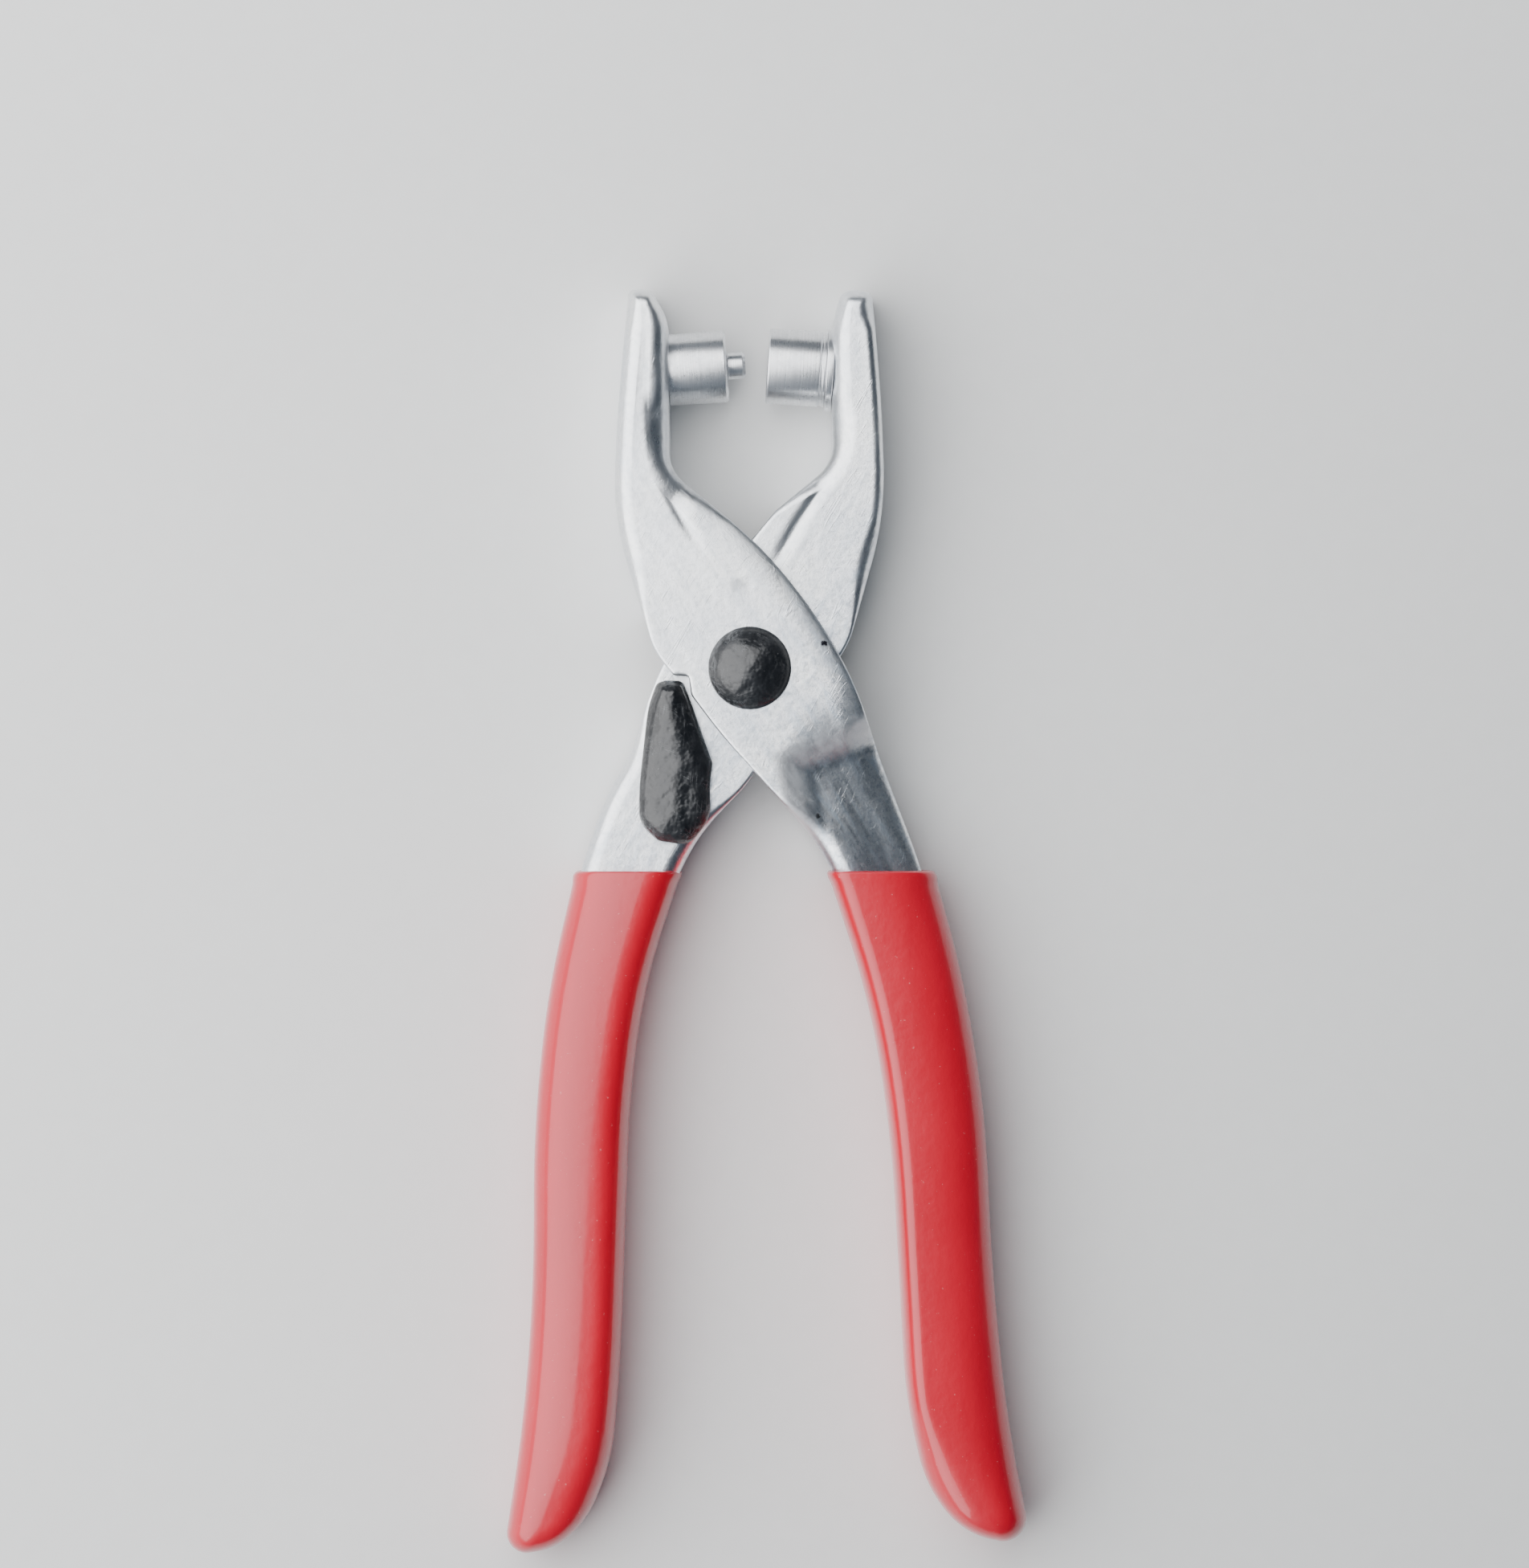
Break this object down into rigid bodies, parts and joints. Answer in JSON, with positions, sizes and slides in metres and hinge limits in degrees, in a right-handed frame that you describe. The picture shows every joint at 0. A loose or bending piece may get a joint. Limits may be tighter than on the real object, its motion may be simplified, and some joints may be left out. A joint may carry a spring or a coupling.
{
  "type": "grommet setter",
  "caption": "Hand pliers that set eyelets in leather: two crossed pressed steel arms on a domed rivet, a punch and an anvil die in the jaws, dipped vinyl grips and a swinging handle latch.",
  "frame": {"origin": "pivot axis, on the flat face of the pivot rivet's rear head", "axes": "+Z is the tool's front, +Y runs from the pivot to the jaws, +X is its right side; the tool lies on its back with its latch holding the handles"},
  "size_m": [0.0619, 0.1501, 0.0152],
  "materials": {
    "plated_steel": "bright zinc plate over pressed sheet, satin",
    "turned_steel": "turned and plated, fine rings",
    "spring_steel": "plain bright steel",
    "black_rivet": "gloss black over steel",
    "black_latch": "gloss black",
    "red_vinyl": "glossy dipped vinyl"
  },
  "bodies": {
    "rear_arm": {"rear_arm": "plated_steel", "left_grip": "red_vinyl", "anvil_die": "turned_steel", "anvil_washer": "turned_steel", "spring_bush": "spring_steel", "return_spring": "spring_steel", "latch_washer": "spring_steel"},
    "pivot_rivet": {"pivot_rivet": "black_rivet", "pivot_washer": "spring_steel"},
    "front_arm": {"front_arm": "plated_steel", "right_grip": "red_vinyl", "punch_die": "turned_steel", "punch_pin": "turned_steel"},
    "latch_rivet": {"latch_rivet": "spring_steel"},
    "latch_lever": {"latch_lever": "black_latch"}
  },
  "joints": [
    {"name": "handles_open", "type": "hinge", "parent": "rear_arm", "child": "pivot_rivet", "pos_m": [0, 0, 0.0078], "axis": [0, 0, 1], "range_deg": [0, 12], "deforming": ["return_spring"]},
    {"name": "handles_squeeze", "type": "hinge", "parent": "pivot_rivet", "child": "front_arm", "pos_m": [0, 0, 0.0078], "axis": [0, 0, -1], "range_deg": [0, 7.5], "stiffness_Nm_per_rad": 0.8, "springref_deg": -17.19, "deforming": ["return_spring"]},
    {"name": "latch_clear", "type": "hinge", "parent": "rear_arm", "child": "latch_rivet", "pos_m": [-0.0088, -0.016, 0.0078], "axis": [0, 0, 1], "range_deg": [0, 45]},
    {"name": "latch_swing", "type": "hinge", "parent": "latch_rivet", "child": "latch_lever", "pos_m": [-0.0088, -0.016, 0.0078], "axis": [0, 0, 1], "range_deg": [0, 40]}
  ],
  "couplings": [
    {"joint": "latch_clear", "follows": "handles_open", "ratio": 3.6}
  ]
}
